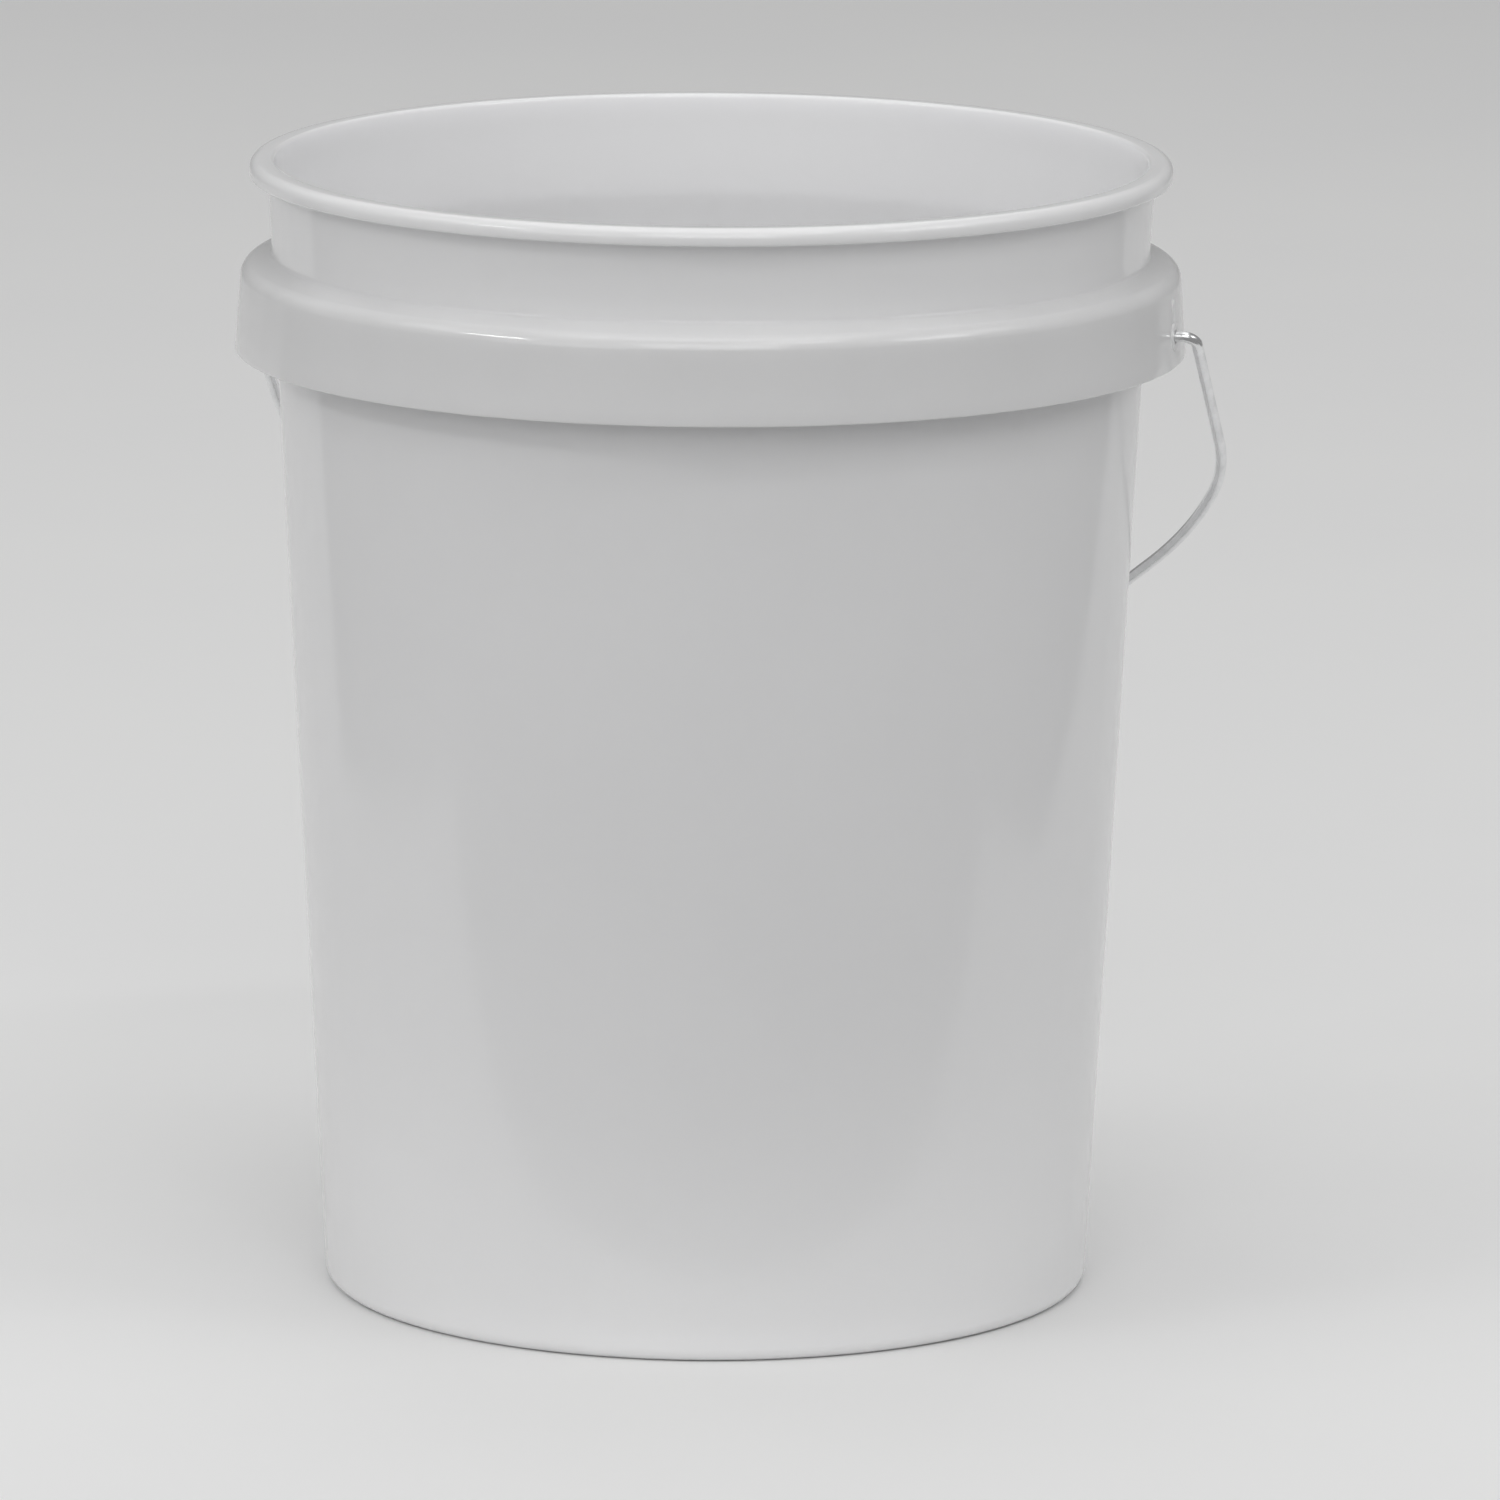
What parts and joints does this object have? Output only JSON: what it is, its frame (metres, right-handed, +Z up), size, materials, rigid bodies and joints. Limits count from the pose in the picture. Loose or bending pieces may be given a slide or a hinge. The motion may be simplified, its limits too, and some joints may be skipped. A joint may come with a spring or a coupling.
{
  "type": "fermenting bucket",
  "caption": "Open white plastic bucket with a rolled rim, a stacking skirt below its neck and a swinging wire bail that carries a plastic grip.",
  "frame": {"origin": "centre of the base, on the surface that the bucket stands on", "axes": "+Z up along the bucket's axis; +X towards one of the ears that hold the bail; +Y towards the back, where the bail rests"},
  "size_m": [0.3186, 0.3102, 0.368],
  "materials": {
    "pail_plastic": "semi-gloss white polyethylene",
    "bail_wire": "bright galvanised wire",
    "grip_plastic": "satin white plastic"
  },
  "bodies": {
    "pail": {"pail": "pail_plastic"},
    "bail": {"bail": "bail_wire"},
    "grip": {"grip": "grip_plastic"}
  },
  "joints": [
    {"name": "bail_hinge", "type": "hinge", "parent": "pail", "child": "bail", "pos_m": [0, 0, 0.3165], "axis": [1, 0, 0], "range_deg": [0, 269]},
    {"name": "grip_spin", "type": "hinge", "parent": "bail", "child": "grip", "pos_m": [0.0017, 0.14532, 0.17209], "axis": [1, 0, 0], "continuous": true}
  ]
}
